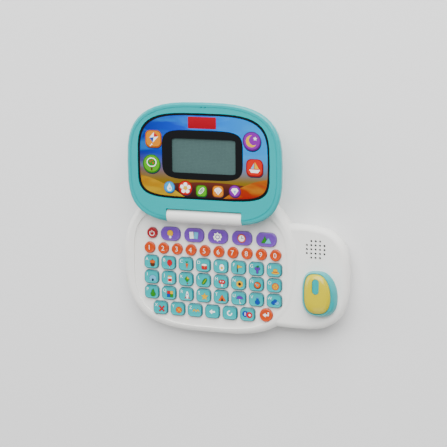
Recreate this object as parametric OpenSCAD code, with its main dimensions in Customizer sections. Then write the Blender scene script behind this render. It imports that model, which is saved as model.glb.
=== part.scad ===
// Toy laptop computer: a wedge base with forty-seven keys and a fixed mouse, and a
// picture lid with a small screen that opens flat on a hinge barrel. A carry handle is
// moulded behind the barrel, and three AA cells sit under the keyboard.
// Everything on the deck is drawn level, and deck() tilts it onto the wedge.

/* [Base] */
// Length from the origin to the front edge
base_front = 87; // [86:0.5:92]
// Length from the origin to the back of the carry handle
base_back = 91; // [90:0.5:96]
// Height of the deck above the table at the front edge
front_h = 24; // [24:0.5:28]
// Slope of the deck, rising to the hinge
tilt = 4; // [3.5:0.5:6]
// Thickness of the moulded walls
wall = 2.2; // [1.8:0.1:2.6]
// Rounding of the upper edges
edge_r = 7; // [5:0.5:9]
// Rounding of the lower edges
under_r = 15; // [12:0.5:15]
// How far the underside is tucked in below the handle
tuck = 16; // [10:1:20]
// Depth of the joint between the two housings below the deck
split_d = 10; // [9.5:0.5:12]
// Height of the moulded feet
foot_h = 1; // [0.8:0.1:1.6]
// Diameter of the moulded feet
foot_d = 12; // [10:1:12]

/* [Keyboard side] */
// Width of the rounded keyboard side of the base
pod_w = 209; // [205:1:212]
// Where the keyboard side is widest, ahead of the middle of the base
pod_mid_y = 4; // [2:1:6]
// Depth of the tray that the keys stand in
tray_d = 2; // [1.5:0.1:2.4]
// Gap between the closed lid's outline and the edge of the tray
tray_gap = 1.2; // [1:0.1:2]

/* [Mouse side] */
// Width of the mouse side that stands out beside the keyboard side
side_w = 57; // [54:1:62]
// Width of the rounded mouse side, most of it under the keyboard side
lobe_w = 122; // [116:1:128]
// Back edge of the mouse side
lobe_back_y = 43.5; // [42:0.5:46]
// Front edge of the mouse side
lobe_front_y = -74.5; // [-77:0.5:-73]
// Step down from the keyboard side to the mouse side, at its front edge
lobe_drop = 0.6; // [0.4:0.1:1.2]
// Slope of the mouse side, which is flatter than the keyboard side
lobe_tilt = 2.5; // [2.4:0.1:3.4]

/* [Keys] */
// Distance between the centres of two letter keys in a row
key_pitch_x = 21; // [20.8:0.1:21.4]
// Distance between two rows of letter keys
key_pitch_y = 17.6; // [17.4:0.1:17.8]
// Width of a letter key
key_w = 17.4; // [16:0.1:17.8]
// Length of a letter key
key_l = 15.2; // [14:0.1:15.4]
// Corner radius of a letter key
key_r = 4.6; // [3:0.1:5.5]
// Diameter of a number key
number_d = 12.8; // [11:0.1:13]
// Distance between the centres of two number keys
number_pitch = 16.7; // [16.5:0.1:16.9]
// Width of a mode key
mode_w = 23.4; // [21:0.2:24.6]
// Length of a mode key
mode_l = 15.6; // [14:0.2:16]
// Distance between the centres of two mode keys
mode_pitch = 28.5; // [28:0.1:28.8]
// Diameter of the power key
power_d = 12.4; // [10:0.2:13]
// Diameter of the enter key
enter_d = 15; // [13:0.2:15.6]
// Height of the keys above the tray
key_h = 3; // [2.4:0.1:3.2]
// Travel of a key
key_travel = 1.5; // [1:0.1:1.6]
// Gap round each key in its hole
key_gap = 0.35; // [0.3:0.05:0.45]
// Width of the flange that keeps a key in its hole
key_flange = 0.9; // [0.8:0.05:1]
// Thickness of that flange
flange_t = 1; // [0.8:0.1:1.2]

/* [Hinge] */
// Distance of the hinge axis behind the middle of the base
hinge_y = 49; // [47:0.5:50]
// Height of the hinge axis above the deck
axis_h = 9.6; // [9.4:0.1:11]
// Length of the hinge barrel between the lid's arms
barrel_l = 88; // [80:1:92]
// Diameter of the pins on the arms
pin_d = 6; // [5:0.2:7]
// Length of those pins inside the barrel
pin_l = 8; // [6:0.5:10]
// Clearance round a pin
pin_gap = 0.2; // [0.15:0.05:0.3]
// Largest opening angle of the lid
open_angle = 180; // [170:1:180]

/* [Lid] */
// Width of the lid
lid_w = 181.6; // [180:0.2:182.4]
// Length of the lid beyond the hinge axis
lid_l = 128; // [126:0.5:128.5]
// Distance of the lid's middle from that of the keyboard side
lid_offset = 0.8; // [0:0.1:1]
// Thickness of the lid
lid_t = 16; // [15:0.2:16]
// Thickness of the lid's back cover
back_t = 4.6; // [4.4:0.1:5.4]
// Rounding of the edge round the lid's face
lid_r = 3; // [2.4:0.1:3.6]
// How far the lid is drawn in towards its crowned back
lid_bowl = 9; // [6:0.5:10]
// Depth of the groove round the lid's face
groove_d = 0.5; // [0.3:0.1:0.7]
// Width of the picture panel
panel_w = 154.6; // [150:0.2:156]
// Length of the picture panel
panel_l = 95.6; // [92:0.2:97]
// Thickness of the picture panel
panel_t = 1.6; // [1.2:0.1:2]
// Depth of the panel's face below the face of the lid
panel_drop = 0.9; // [0.5:0.1:1.2]
// Width of the screen window
screen_w = 75; // [70:0.5:78]
// Length of the screen window
screen_l = 38.4; // [34:0.2:40]

/* [Mouse] */
// Width of the mouse at its foot
mouse_w = 40.4; // [38:0.2:41]
// Length of the mouse at its foot
mouse_l = 51; // [49:0.5:52]
// Height of the mouse above the deck, without its domed cover
mouse_h = 10; // [9:0.5:11]
// Height of the dome of the mouse cover
dome_h = 4.5; // [3:0.5:5]
// Travel of the mouse cover
mouse_travel = 1.5; // [1:0.1:1.8]

/* [Power] */
// Diameter of an AA cell
cell_d = 14.2; // [13.8:0.1:14.4]
// Length of an AA cell over its button
cell_l = 50.4; // [50:0.1:50.6]
// Number of cells
cells = 3; // [2:1:3]

/* [Hidden] */
letters = "abcdefghijklmnopqrstuvwxyz";
n_tilde_i = 14;        // place of the accented letter, between n and o
modes = 5;
numbers = 10;
row_keys = 8;
$fn = 48;

fit = 0.3;             // gap between pieces that are fitted, not joined
skin = 0.01;           // thickness of the slices that a hull spans
outline_step = 7.5;    // degrees between the points of an outline
far = 400;             // longer than the whole toy
front_y = -base_front;
rear_y = base_back;

// Outlines, each as [half width, back half length, front half length, back and front power]
base_w = pod_w + side_w;
end_x = base_w / 2;
pod_x = pod_w / 2 - end_x;
pod_line = [pod_w / 2, rear_y - pod_mid_y, pod_mid_y - front_y, 2, 3.2];
lobe_x = end_x - lobe_w / 2;
lobe_mid_y = -12.5;
lobe_line = [lobe_w / 2, lobe_back_y - lobe_mid_y, lobe_mid_y - lobe_front_y, 3, 3];
hinge_r = lid_t / 2;
lid_mid = (lid_l - hinge_r) / 2;
lid_x = pod_x + lid_offset;
lid_line = [lid_w / 2, lid_l - lid_mid, lid_mid + hinge_r, 3, 3.6];
lid_rim = 12.1;        // face of the lid beyond the panel's far edge
panel_mid = lid_l - lid_rim - panel_l * 0.56;
panel_line = [panel_w / 2, panel_l * 0.56, panel_l * 0.44, 3.7, 5.2];

// Levels on the deck, with its upper face at zero
tray_floor = -tray_d;
plate_under = tray_floor - wall;
key_top = tray_floor + key_h;
flange_top = plate_under - fit;
flange_under = flange_top - flange_t;
mat_t = 1;
dome_pressed = 1.1;    // height of a dome when its key is down
dome_l = key_travel + dome_pressed;
mat_top = flange_under - fit - dome_l;
mat_under = mat_top - mat_t;
board_t = 1.6;
board_under = mat_under - board_t;

// Places of the keys on the deck, each row from the one before
row1_y = -8.5;
keys_right = 4;        // of the middle of the keyboard side
number_up = 16.4;
number_left = 1.9;
mode_up = 17.2;
mode_right = 23.8;
power_right = 1.5;
row4_down = 0.2;
enter_right = 137.3;
enter_up = 0.8;
col1_x = pod_x + keys_right - key_pitch_x * (row_keys - 1) / 2;
number_y = row1_y + number_up;
number_x = col1_x - number_left;
mode_y = number_y + mode_up;
mode_x = col1_x + mode_right;
power_at = [col1_x + power_right, mode_y];
row4_x = col1_x + key_pitch_x / 2;
row4_y = row1_y - 3 * key_pitch_y - row4_down;
enter_at = [col1_x + enter_right, row4_y + enter_up];

// Edges of the circuit board and the rubber mat, beyond the keys
board_rim = [5, 4, 2.5];
board_cut = 22;
board_left = col1_x - key_w / 2 - board_rim[0];
board_right = col1_x + (row_keys - 1) * key_pitch_x + key_w / 2 + board_rim[1];
board_back = mode_y + mode_l / 2 + board_rim[2];
board_front = row4_y - key_l / 2 - board_rim[2];

// Places on the mouse side, across it as shares of the width that stands out
mouse_share = 0.4475;
mouse_y = -35;
speaker_share = 0.3455;
speaker_y = 17;
mouse_at = [end_x - side_w * (1 - mouse_share), mouse_y];
speaker_at = [end_x - side_w * (1 - speaker_share), speaker_y];
speaker_d = 36;
speaker_rim = 4;
hole_pitch_x = 5;
hole_pitch_y = 4.6;
hole_d = 2.6;

// Carry handle: the slot for the fingers lies between the barrel's wall and the bar
bar_w = 12;
slot_front_y = hinge_y + hinge_r + wall + 0.5;
slot_w = 88;
slot_r = 5;

// Battery bay
bay_end = 4;           // room for the contacts at each end of the cells
bay_l = cell_l + 2 * bay_end;
bay_w = cells * (cell_d + 0.6) + 0.6;
bay_x = pod_x;
bay_y = 33;
bay_wall = 1.6;
bay_roof = 1;
cover_t = 2;
cover_lip = 3;
ear_r = 5.5;
ear_y = bay_y - bay_w / 2 - cover_lip - 1;
ear_screw_l = 8;
ear_boss_h = foot_h + cover_t + ear_screw_l;
cell_z = foot_h + cover_t + fit + cell_d / 2;
bay_h = cover_t + fit + cell_d + 0.2;

// Fasteners
boss_r = 3.5;
screw_r = 1.4;
pilot_r = 1.45;
clear_r = 1.7;
head_r = 2.8;
head_t = 2;
sink_r = 3;
grip = 6;              // of a screw, from its head to the joint between the housings
bite = 5.5;            // of a screw, beyond that joint
side_out = 8.3;        // of a boss, beyond the circuit board's left edge
side_y = 10;
corner_in = 6.2;       // of the next one, inside that edge where the board's corner is cut
corner_up = 24;        // from the front edge
front_up = 9.5;
hinge_boss_x = 64;     // on each side of the middle of the keyboard side
hinge_down = 6;
lobe_front_in = 63;    // from the outer end of the mouse side
lobe_front_up = 8.5;
lobe_end_in = 10;
lobe_end_y = 8;
lobe_back_in = 67;
lobe_back_down = 6.5;
bosses = [
    [board_left - side_out, side_y],
    [board_left + corner_in, front_y + corner_up],
    [pod_x, front_y + front_up],
    [end_x - lobe_front_in, lobe_front_y + lobe_front_up],
    [end_x - lobe_end_in, lobe_end_y],
    [end_x - lobe_back_in, lobe_back_y - lobe_back_down],
    [pod_x - hinge_boss_x, hinge_y - hinge_down],
    [pod_x + hinge_boss_x, hinge_y - hinge_down]];

// Feet: the first is at the origin
front_foot_x = 60;
front_foot_up = 22;
rear_foot_x = 46;
rear_foot_down = 2;
lobe_foot_in = 32;
lobe_foot_y = 20;      // from the front and the back edge of the mouse side
feet = [
    [0, 0],
    [pod_x - front_foot_x, front_y + front_foot_up],
    [pod_x - rear_foot_x, hinge_y - rear_foot_down],
    [pod_x + rear_foot_x, hinge_y - rear_foot_down],
    [end_x - lobe_foot_in, lobe_front_y + lobe_foot_y],
    [end_x - lobe_foot_in, lobe_back_y - lobe_foot_y]];

// ---- Frames and outlines ----

module deck() {
    translate([0, front_y, front_h]) rotate([tilt, 0, 0]) translate([0, -front_y, 0]) children();
}

// The mouse side slopes less than the keyboard side, so its step down grows to the rear
module lobe_deck() {
    translate([0, lobe_front_y, front_h + (lobe_front_y - front_y) * tan(tilt) - lobe_drop])
        rotate([lobe_tilt, 0, 0]) translate([0, -lobe_front_y, 0]) children();
}

function lobe_down(y) = lobe_drop + (y - lobe_front_y) * (tan(tilt) - tan(lobe_tilt));

// The lid's own frame has its origin on the hinge axis, +Y to the lid's far edge and
// +Z out of its face. Opened flat it lies along the deck.
module lid_frame() {
    deck() translate([lid_x, hinge_y, axis_h]) rotate([open_angle - 180, 0, 0]) children();
}

function powered(v, p) = sign(v) * pow(abs(v), 2 / p);

function outline(line, inset, turned = 0) = [for (a = [turned : outline_step : 359])
    let (back = sin(a) >= 0, p = back ? line[3] : line[4], b = back ? line[1] : line[2])
    [(line[0] - inset) * powered(cos(a), p), (b - inset) * powered(sin(a), p)]];

module slice(line, inset, z) {
    translate([0, 0, z]) linear_extrude(skin) polygon(outline(line, inset));
}

// A quarter-round edge of radius r below the level top, as slices for a hull
module rounded_top(line, inset, top, r) {
    for (q = [0 : 22.5 : 90]) slice(line, inset + r * (1 - cos(q)), top - skin - r * (1 - sin(q)));
}

module rounded_under(line, inset, under, r, tucked) {
    for (q = [0 : 30 : 90]) {
        shift = tucked * (1 - cos(q));
        pinched = [line[0], line[1] - shift, line[2], line[3], line[4]];
        slice(pinched, inset + r * (1 - cos(q)), under + r * (1 - sin(q)));
    }
}

module pod(inset, top, under, r_top) {
    hull() {
        deck() translate([pod_x, pod_mid_y, 0]) rounded_top(pod_line, inset, top, r_top);
        translate([pod_x, pod_mid_y, 0]) rounded_under(pod_line, inset, under, under_r - inset, tuck);
    }
}

module lobe(inset, under) {
    hull() {
        lobe_deck() translate([lobe_x, lobe_mid_y, 0])
            rounded_top(lobe_line, inset, -inset, edge_r - inset);
        translate([lobe_x, lobe_mid_y, 0]) rounded_under(lobe_line, inset, under, under_r - inset, 0);
    }
}

module handle_slot(grow) {
    translate([0, 0, -1]) linear_extrude(far) offset(slot_r + grow) offset(-slot_r) intersection() {
        translate([pod_x, pod_mid_y]) polygon(outline(pod_line, bar_w));
        translate([pod_x - slot_w / 2, slot_front_y]) square([slot_w, far]);
    }
}

// Hollow shell of the whole base before it is split in two, with the screw columns and
// what else is left standing in it
module shell() {
    difference() {
        union() {
            pod(0, 0, foot_h, edge_r);
            lobe(0, foot_h);
        }
        difference() {
            union() {
                pod(wall, plate_under, foot_h + wall, max(1, edge_r + plate_under));
                lobe(wall, foot_h + wall);
            }
            handle_slot(wall);
            columns(boss_r, -far / 2, far / 2);
            children();
        }
        handle_slot(0);
    }
}

module above_split() {
    deck() translate([-far / 2, -far / 2, -split_d]) cube([far, far, far]);
}

module below_split() {
    deck() translate([-far / 2, -far / 2, -split_d - far]) cube([far, far, far]);
}

// ---- Keys ----

module round_rect(w, l, r) {
    square([w - 2 * r, l], center = true);
    square([w, l - 2 * r], center = true);
    for (x = [-1, 1], y = [-1, 1]) translate([x * (w / 2 - r), y * (l / 2 - r)]) circle(r);
}

// A lozenge with round ends and flatter long sides
module mode_outline(grow) {
    r = mode_l / 2 + grow;
    round_rect(mode_w + 2 * grow, mode_l + 2 * grow, r * 0.86);
}

module key_outline(kind, grow = 0) {
    if (kind == "letter") round_rect(key_w + 2 * grow, key_l + 2 * grow, key_r + grow);
    if (kind == "number") circle(number_d / 2 + grow);
    if (kind == "mode") mode_outline(grow);
    if (kind == "power") circle(power_d / 2 + grow);
    if (kind == "enter") circle(enter_d / 2 + grow);
}

// Key top with a small step at its shoulder, and the flange under the plate
module key(kind, at) {
    shoulder = 0.6;
    root = flange_top - 0.1;
    deck() translate(at) {
        translate([0, 0, root]) linear_extrude(key_top - shoulder - root) key_outline(kind);
        translate([0, 0, key_top - shoulder]) linear_extrude(shoulder) key_outline(kind, -shoulder);
        translate([0, 0, flange_under]) linear_extrude(flange_t) key_outline(kind, key_flange);
    }
}

function letter_at(i) = i < 3 * row_keys
    ? [col1_x + (i % row_keys) * key_pitch_x, row1_y - floor(i / row_keys) * key_pitch_y]
    : [row4_x + (i - 3 * row_keys) * key_pitch_x, row4_y];
function number_at(i) = [number_x + i * number_pitch, number_y];
function mode_at(i) = [mode_x + i * mode_pitch, mode_y];

// The thirty square keys: the letters with the accented one, and three function keys
square_keys = 30;
function_i = [27, 28, 29];
function letter_i(i) = i < n_tilde_i ? i : i + 1;

module each_key_place(grow) {
    for (i = [0 : square_keys - 1]) translate(letter_at(i)) key_outline("letter", grow);
    for (i = [0 : numbers - 1]) translate(number_at(i)) key_outline("number", grow);
    for (i = [0 : modes - 1]) translate(mode_at(i)) key_outline("mode", grow);
    translate(power_at) key_outline("power", grow);
    translate(enter_at) key_outline("enter", grow);
}

key_centres = concat(
    [for (i = [0 : square_keys - 1]) letter_at(i)],
    [for (i = [0 : numbers - 1]) number_at(i)],
    [for (i = [0 : modes - 1]) mode_at(i)],
    [power_at, enter_at]);

// Outline that the rubber mat and the circuit board share
module board_outline() {
    polygon([
        [board_left, board_back],
        [board_left, board_front + board_cut],
        [board_left + board_cut, board_front],
        [board_right, board_front],
        [board_right, board_back]]);
}

// ---- Housings ----

module tray() {
    line = [lid_line[0], lid_line[2], lid_line[1], lid_line[4], lid_line[3]];
    translate([lid_x, hinge_y - lid_mid, tray_floor])
        linear_extrude(far) polygon(outline(line, -tray_gap, outline_step / 2));
}

module barrel() {
    foot = 3;
    translate([lid_x - barrel_l / 2, hinge_y, 0]) rotate([90, 0, 90]) linear_extrude(barrel_l) {
        translate([0, axis_h]) circle(hinge_r);
        translate([-hinge_r, plate_under]) square([2 * hinge_r, axis_h - plate_under]);
        difference() {
            translate([-hinge_r - foot, tray_floor - 0.1]) square([2 * (hinge_r + foot), foot + 0.1]);
            for (x = [-1, 1]) translate([x * (hinge_r + foot), tray_floor + foot]) circle(foot);
        }
    }
}

module pin_bores() {
    for (x = [-1, 1]) translate([lid_x + x * (barrel_l / 2 - pin_l / 2), hinge_y, axis_h])
        rotate([0, 90, 0]) cylinder(r = pin_d / 2 + pin_gap, h = pin_l + 2 * fit, center = true);
}

module grille() {
    for (i = [-2 : 2], j = [-2 : 2]) if (abs(i) + abs(j) < 4)
        translate([speaker_at[0] + i * hole_pitch_x, speaker_at[1] + j * hole_pitch_y, -2 * wall])
            cylinder(d = hole_d, h = 4 * wall, $fn = 16);
}

// Height of the joint between the two housings, at a distance y
function joint_z(y) = front_h + (y - front_y) * tan(tilt) - split_d / cos(tilt);

// Columns at the screws, from low to high as measured from that joint
module columns(r, low, high) {
    for (b = bosses) translate([b[0], b[1], joint_z(b[1]) + low]) cylinder(r = r, h = high - low, $fn = 32);
}

module top_housing() {
    color("whitesmoke") difference() {
        union() {
            difference() {
                intersection() { shell(); above_split(); }
                deck() tray();
            }
            deck() barrel();
            lobe_deck() translate([speaker_at[0], speaker_at[1], -wall - speaker_rim]) difference() {
                cylinder(d = speaker_d + 2 * fit + 2 * wall, h = speaker_rim + 0.1);
                translate([0, 0, -1]) cylinder(d = speaker_d + 2 * fit, h = speaker_rim + 2);
            }
        }
        deck() translate([0, 0, plate_under - 1]) linear_extrude(wall + tray_d + 2) each_key_place(key_gap);
        deck() pin_bores();
        lobe_deck() grille();
        mouse_frame() translate([plunger_at[0], plunger_at[1], -2 * wall])
            cylinder(r = plunger_r + fit, h = 4 * wall);
        columns(pilot_r, -1, bite + fit);
    }
}

module bay_box(grow, z0, z1) {
    translate([bay_x - bay_l / 2 - grow, bay_y - bay_w / 2 - grow, z0])
        cube([bay_l + 2 * grow, bay_w + 2 * grow, z1 - z0]);
}

// Outline of the battery cover, with the ear that its screw goes through
module cover_outline(grow) {
    rim = 2 * (cover_lip + grow);
    translate([bay_x, bay_y]) round_rect(bay_l + rim, bay_w + rim, 4 + grow);
    translate([bay_x, ear_y]) circle(ear_r + grow);
}

module bottom_housing() {
    color("gainsboro") difference() {
        union() {
            intersection() {
                shell() {
                    bay_box(bay_wall, 0, foot_h + bay_h + bay_roof);
                    bay_box(bay_wall + cover_lip, 0, foot_h + cover_t + fit + bay_wall);
                    translate([bay_x, ear_y, 0]) cylinder(r = ear_r + fit + bay_wall, h = ear_boss_h);
                }
                below_split();
            }
            for (f = feet) translate([f[0], f[1], 0]) cylinder(d = foot_d, h = foot_h + wall);
        }
        bay_box(0, -1, foot_h + bay_h);
        translate([0, 0, -1]) linear_extrude(foot_h + cover_t + fit + 1) cover_outline(fit);
        translate([bay_x, ear_y, 0]) cylinder(r = pilot_r, h = ear_boss_h - 1, $fn = 32);
        columns(clear_r, -grip - 1, 1);
        columns(sink_r, -far, -grip);
    }
}

module battery_cover() {
    rib_w = 1.2;
    rib_l = 8;
    color("gainsboro") translate([0, 0, foot_h]) difference() {
        linear_extrude(cover_t) cover_outline(0);
        for (i = [-3 : 3]) translate([bay_x + i * 4 - rib_w / 2, bay_y + bay_w / 2 - rib_l - 4, -1])
            cube([rib_w, rib_l, 1.5]);
        translate([bay_x, ear_y, -1]) cylinder(r = clear_r, h = far, $fn = 32);
        translate([bay_x, ear_y, -1]) cylinder(r = sink_r, h = 1 + cover_t / 2, $fn = 32);
    }
}

function cell_y(i) = bay_y + (i - (cells - 1) / 2) * (cell_d + 0.6);

// Three AA cells, with every second one turned round
module batteries() {
    nub_l = 1.2;
    color("dimgray") for (i = [0 : cells - 1]) {
        side = i % 2 == 0 ? 1 : -1;
        translate([bay_x, cell_y(i), cell_z]) rotate([0, 90 * side, 0]) {
            translate([0, 0, -cell_l / 2]) cylinder(d = cell_d, h = cell_l - nub_l);
            translate([0, 0, cell_l / 2 - nub_l - 0.1]) cylinder(d = 5.5, h = nub_l + 0.1);
        }
    }
}

// A flat plate at each button end and a plate with a spring at the other
module battery_contacts() {
    plate_t = 0.5;
    plate_w = 10;
    pip_d = 4.5;
    spring_root = 9;
    spring_tip = 6;
    color("silver") for (i = [0 : cells - 1], end = [-1, 1]) {
        side = i % 2 == 0 ? 1 : -1;
        at_x = bay_x + end * (bay_l / 2);
        translate([at_x, cell_y(i), cell_z]) rotate([0, -90 * end, 0]) {
            translate([-plate_w / 2, -plate_w / 2, 0]) cube([plate_w, plate_w, plate_t]);
            if (end == side) cylinder(d = pip_d, h = bay_end);
            else cylinder(d1 = spring_root, d2 = spring_tip, h = bay_end);
        }
    }
}

module key_mat() {
    color("lightgray") deck() {
        translate([0, 0, mat_under]) linear_extrude(mat_t) board_outline();
        for (c = key_centres) translate([c[0], c[1], mat_top - 0.05])
            cylinder(r1 = 4, r2 = 2.6, h = dome_l + 0.05, $fn = 24);
    }
}

module circuit_board() {
    ear_w = 26;
    ear_root = 8;
    ear_x = board_right - ear_root;
    ear_out = 8.5;
    color("seagreen") deck() {
        translate([0, 0, board_under]) linear_extrude(board_t) {
            board_outline();
            translate([ear_x, mouse_at[1] - ear_w / 2]) square([mouse_at[0] + ear_out - ear_x, ear_w]);
        }
        translate([mouse_at[0] + plunger_at[0], mouse_at[1] + plunger_at[1], board_under + board_t])
            cylinder(r = plunger_r - 0.5, h = switch_h);
    }
}

module speaker() {
    magnet_d = 18;
    frame_t = speaker_rim - 0.5;
    color("black") lobe_deck() translate([speaker_at[0], speaker_at[1], -wall - fit]) {
        translate([0, 0, -frame_t]) difference() {
            cylinder(d = speaker_d, h = frame_t);
            translate([0, 0, 1]) cylinder(d1 = speaker_d * 0.5, d2 = speaker_d * 0.86, h = frame_t);
        }
        translate([0, 0, -frame_t - 4.5]) cylinder(d = magnet_d, h = 4.6);
    }
}

// Self-tapping screw with a cross slot, its head below the level zero
module screw(head_h, shank_l) {
    slot_l = 3.2;
    slot_t = 0.6;
    difference() {
        union() {
            translate([0, 0, -head_h]) cylinder(r = head_r, h = head_h, $fn = 32);
            translate([0, 0, -head_h / 2]) cylinder(r = screw_r, h = head_h / 2 + shank_l, $fn = 24);
        }
        for (a = [0, 90]) rotate([0, 0, a]) translate([-slot_l / 2, -slot_t / 2, -head_h - 1])
            cube([slot_l, slot_t, 1 + head_h / 2]);
    }
}

// One screw for each boss, and the one that keeps the battery cover shut
module screws() {
    color("silver") {
        for (b = bosses) translate([b[0], b[1], joint_z(b[1]) - grip]) screw(head_t, grip + bite);
        translate([bay_x, ear_y, foot_h + cover_t / 2]) screw(cover_t / 2, ear_screw_l);
    }
}

// ---- Mouse ----

// Outlines of the mouse, each as [half width, back length, front length] from where it is
// widest. The left side is nearly straight at the back, where the forefinger rests.
back_share = 0.56;
mouse_foot = [mouse_w / 2, mouse_l * back_share, mouse_l * (1 - back_share)];
cap_inset = 5.3;
cap_line = [mouse_foot[0] - cap_inset, mouse_foot[1] - cap_inset + 1.8, mouse_foot[2] - cap_inset + 2];
cap_shift = [-0.5, 1.4];
left_powers = [3.6, 2.5];
right_powers = [2, 2.5];
rim_w = 1;
plunger_r = 4;
plunger_at = [0, -6];
switch_h = 3.4;
plunger_y = mouse_at[1] + plunger_at[1];
plunger_low = board_under + board_t + switch_h + fit + mouse_travel + lobe_down(plunger_y);
wheel_w = 7.4;
wheel_l = 16.6;
wheel_at = [-1.5, 13.2];
cap_t = 1.6;

module egg(line, inset) {
    polygon([for (a = [0 : outline_step : 359])
        let (powers = cos(a) < 0 ? left_powers : right_powers, back = sin(a) >= 0,
            p = powers[back ? 0 : 1], b = back ? line[1] : line[2])
        [(line[0] - inset) * powered(cos(a), p), (b - inset) * powered(sin(a), p)]]);
}

// A slab of the cover's outline
module cap_slab(z, h, inset) {
    translate([cap_shift[0], cap_shift[1], z]) linear_extrude(h) egg(cap_line, inset);
}

module mouse_frame() {
    lobe_deck() translate([mouse_at[0], mouse_at[1], 0]) children();
}

module wheel_outline(grow) {
    reach = (wheel_l - wheel_w) / 2;
    translate(wheel_at) {
        for (y = [-reach, reach]) translate([0, y]) circle(wheel_w / 2 + grow);
        square([wheel_w + 2 * grow, 2 * reach], center = true);
    }
}

// Skirt of the mouse, with a raised pad that shows through the cover
module mouse_body() {
    ledge_w = 2;
    bridge_w = 2 * (mouse_foot[0] - cap_inset - 1);
    bridge_t = 2;
    cap_under = mouse_h - mouse_travel - cap_t - fit;
    color("darkturquoise") mouse_frame() {
        difference() {
            hull() {
                linear_extrude(1.5) egg(mouse_foot, 0);
                translate([0, 0, mouse_h * 0.6]) linear_extrude(skin) egg(mouse_foot, 1.2);
                cap_slab(mouse_h - skin, skin, -rim_w - fit);
            }
            cap_slab(cap_under, far, -fit);
            cap_slab(-1, far, ledge_w);
        }
        difference() {
            linear_extrude(mouse_h + dome_h * 0.8) wheel_outline(0);
            translate([0, 0, -1]) linear_extrude(mouse_h - 1) wheel_outline(-1.6);
        }
        translate([-bridge_w / 2, wheel_at[1] - bridge_t / 2, 0]) cube([bridge_w, bridge_t, cap_under - 2]);
    }
}

// Domed cover with a slot for the pad; it clicks down as one button
module mouse_cover() {
    top = mouse_h + dome_h;
    drawn = 12;
    color("gold") mouse_frame() {
        difference() {
            hull() {
                cap_slab(mouse_h - cap_t, cap_t, 0);
                for (q = [30 : 20 : 90])
                    cap_slab(mouse_h + dome_h * sin(q) - skin, skin, drawn * (1 - cos(q)));
            }
            hull() {
                cap_slab(mouse_h - cap_t - 1, 1.5, cap_t);
                cap_slab(top - cap_t, skin, drawn);
            }
            translate([0, 0, -1]) linear_extrude(far) wheel_outline(fit);
        }
        translate([plunger_at[0], plunger_at[1], plunger_low])
            cylinder(r = plunger_r, h = top - cap_t - plunger_low);
    }
}

// ---- Lid ----

screen_right = 0.6;    // of the middle of the panel
screen_up = 6.2;
screen_at = [screen_right, panel_mid + screen_up];
groove_at = 1.6;       // from the rounded edge to the groove
groove_w = 1;
dimple_d = 1.6;        // of the two small dimples beyond the panel
dimple_x = 2.8;
face = hinge_r;
panel_floor = face - panel_drop - panel_t;
floor_t = 2;
split_z = -face + back_t;
lcd_rim = 4;
lcd_w = screen_w + 2 * lcd_rim;
lcd_l = screen_l + 2 * lcd_rim;
lcd_t = 3.6;

// How far the lid's side is drawn in at the level z: a small round at the face, and below
// it a long curve to the back
edge_z = face - lid_r;
function lid_draw(z) = z > edge_z
    ? lid_r - sqrt(max(0, lid_r * lid_r - (z - edge_z) * (z - edge_z)))
    : lid_bowl * (1 - sqrt(max(0, 1 - pow((edge_z - z) / (edge_z + face), 2))));

module lid_solid(inset, levels) {
    hull() translate([0, lid_mid, 0]) for (z = levels) slice(lid_line, inset + lid_draw(z), z);
}
// Levels of the slices, close together where the side curves most
front_levels = [split_z, split_z / 2, edge_z, for (q = [30 : 30 : 90]) edge_z + lid_r * sin(q) - skin];
back_levels = [for (q = [90, 70, 50]) edge_z - (edge_z + face) * sin(q), split_z - skin];

// Keeps the hinge end round about its axis
module hinge_end() {
    rotate([90, 0, 90]) translate([0, 0, -far / 2]) linear_extrude(far) {
        circle(hinge_r);
        translate([0, -hinge_r]) square([far, 2 * hinge_r]);
    }
}

module notch() {
    w = barrel_l + 2 * fit;
    translate([-w / 2, -far / 2, -far / 2]) cube([w, far / 2 + hinge_r + fit, far]);
}

module panel_shape(grow) {
    translate([0, panel_mid]) polygon(outline(panel_line, -grow));
}

module screen_window(grow) {
    translate(screen_at) round_rect(screen_w + 2 * grow, screen_l + 2 * grow, 2.5 + grow);
}

module lid_front() {
    color("turquoise") lid_frame() {
        difference() {
            intersection() {
                lid_solid(0, front_levels);
                hinge_end();
            }
            difference() {
                lid_solid(wall, [split_z - 1, split_z / 2, panel_floor - floor_t]);
                translate([-far / 2, -far + hinge_r + wall + fit, -far / 2]) cube([far, far, far]);
            }
            notch();
            translate([0, 0, panel_floor]) linear_extrude(far) panel_shape(fit);
            translate([0, lid_mid, face - groove_d]) linear_extrude(far) difference() {
                polygon(outline(lid_line, lid_r + groove_at));
                polygon(outline(lid_line, lid_r + groove_at + groove_w));
            }
            translate([screen_at[0] - lcd_w / 2 - fit, screen_at[1] - lcd_l / 2 - fit, -far / 2])
                cube([lcd_w + 2 * fit, lcd_l + 2 * fit, far]);
            for (x = [-dimple_x, dimple_x]) translate([x, lid_l - lid_rim / 2, face - 0.6])
                cylinder(d = dimple_d, h = 2, $fn = 16);
        }
        for (x = [-1, 1]) translate([x * (barrel_l / 2 + fit - (pin_l + fit) / 2 + 1), 0, 0])
            rotate([0, 90, 0]) cylinder(d = pin_d, h = pin_l + fit + 2, center = true);
    }
}

// Back cover of the lid, snapped into the front with a lip
module lid_back() {
    lip = 1.4;
    lip_h = 2;
    end_y = hinge_r + wall + 2 * fit + 6;
    color("turquoise") lid_frame() difference() {
        union() {
            difference() {
                intersection() {
                    lid_solid(0, back_levels);
                    hinge_end();
                }
                notch();
            }
            difference() {
                lid_solid(wall + fit, [split_z - 0.5, split_z + lip_h]);
                translate([-far / 2, end_y - far, -far / 2]) cube([far, far, far]);
            }
        }
        difference() {
            lid_solid(wall + fit + lip, [wall - face, split_z, split_z + lip_h + 1]);
            translate([-far / 2, end_y - far, -far / 2]) cube([far, far, far]);
        }
    }
}

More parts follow.
